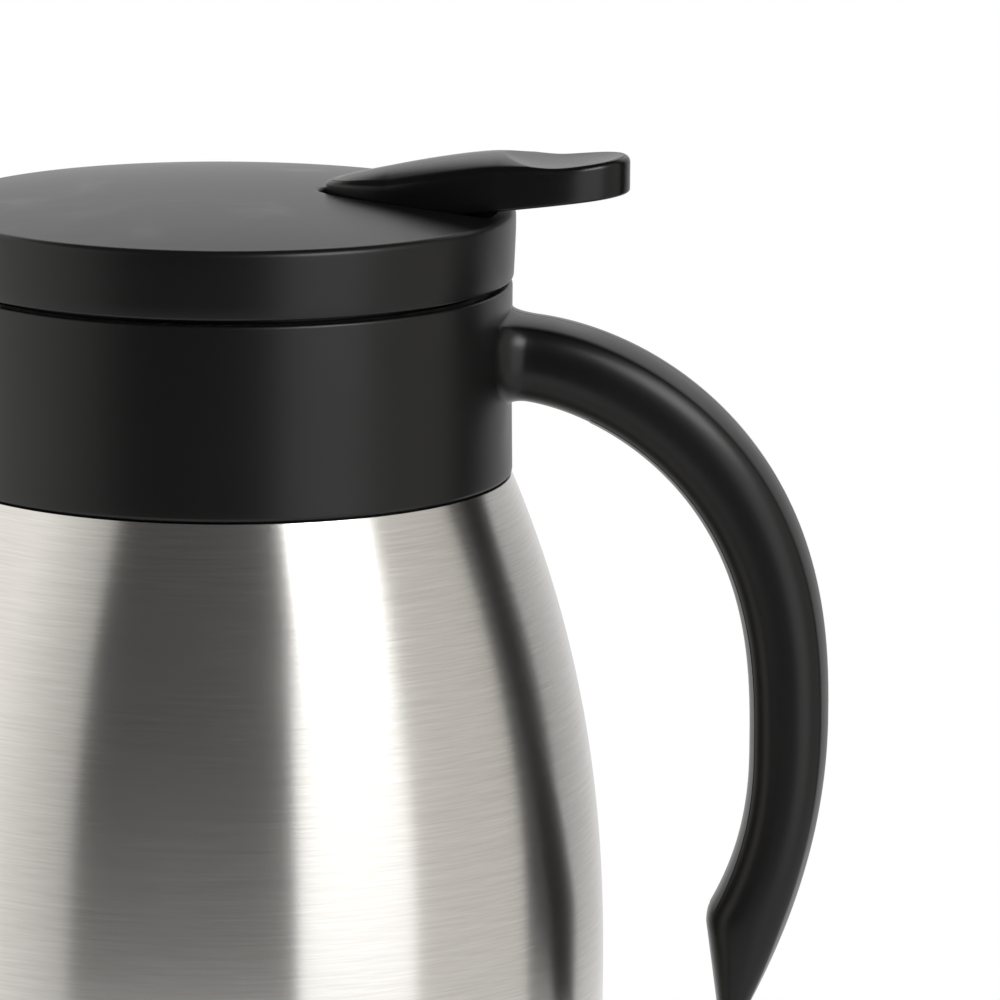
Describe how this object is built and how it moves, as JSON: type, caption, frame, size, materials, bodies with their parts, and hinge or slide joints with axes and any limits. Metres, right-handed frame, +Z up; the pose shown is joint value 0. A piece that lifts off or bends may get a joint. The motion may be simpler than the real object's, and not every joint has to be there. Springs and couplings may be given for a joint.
{
  "type": "vacuum carafe with thumb lever lid",
  "caption": "Double-walled steel carafe with a black collar, spout and hooked handle; a screw-in domed lid carries a thumb lever that lifts a sprung pouring valve.",
  "frame": {"origin": "centre of the resting face under the base pad", "axes": "+Z up along the body's axis, +X towards the handle and the lever's tip, -X towards the spout, +Y to the left of the handle seen from above the handle"},
  "size_m": [0.173, 0.134, 0.2628],
  "materials": {
    "brushed_shell": "fine horizontal brushing, satin",
    "polished_flask": "electropolished drinking side",
    "black_plastic": "fine matt moulding, satin sheen",
    "lever_plastic": "smoother moulding than the lid",
    "silicone": "soft translucent grey silicone",
    "pad_silicone": "matt black silicone",
    "white_plastic": "natural polypropylene",
    "small_steel": "bright drawn steel",
    "getter_metal": "dull sintered metal"
  },
  "bodies": {
    "jug": {"base_pad": "pad_silicone", "base_plate_disc": "brushed_shell", "seal_plug": "small_steel", "getter_pill": "getter_metal", "outer_shell": "brushed_shell", "inner_flask": "polished_flask", "collar": "black_plastic", "handle_strip": "black_plastic", "neck_gasket": "silicone", "thread_sleeve": "white_plastic"},
    "seal": {"stopper_gasket": "silicone"},
    "lid": {"stopper": "black_plastic", "stopper_plate": "black_plastic", "lid_cover": "black_plastic", "lid_ring": "silicone", "lid_screws": "small_steel", "hinge_pin": "small_steel", "stem_wiper": "silicone"},
    "lever": {"lever": "lever_plastic", "lever_fork": "lever_plastic"},
    "valve": {"valve_stem": "small_steel", "valve_disc": "black_plastic", "valve_seal": "silicone", "stem_ring": "small_steel", "return_spring": "small_steel"}
  },
  "joints": [
    {"name": "lid_lift", "type": "slide", "parent": "jug", "child": "seal", "axis": [0, 0, 1], "range_m": [0, 0.0432]},
    {"name": "lid_turn", "type": "hinge", "parent": "seal", "child": "lid", "pos_m": [0, 0, 0.2], "axis": [0, 0, 1], "range_deg": [0, 1296]},
    {"name": "lever_press", "type": "hinge", "parent": "lid", "child": "lever", "pos_m": [0.0395, 0, 0.248], "axis": [0, 1, 0], "range_deg": [0, 6], "stiffness_Nm_per_rad": 0.546, "springref_deg": -17.42},
    {"name": "valve_lift", "type": "slide", "parent": "lid", "child": "valve", "axis": [0, 0, 1], "range_m": [0, 0.00414], "deforming": ["return_spring"]}
  ],
  "couplings": [
    {"joint": "lid_lift", "follows": "lid_turn", "m_per_rad": 0.0019098},
    {"joint": "valve_lift", "follows": "lever_press", "m_per_rad": 0.0395}
  ]
}
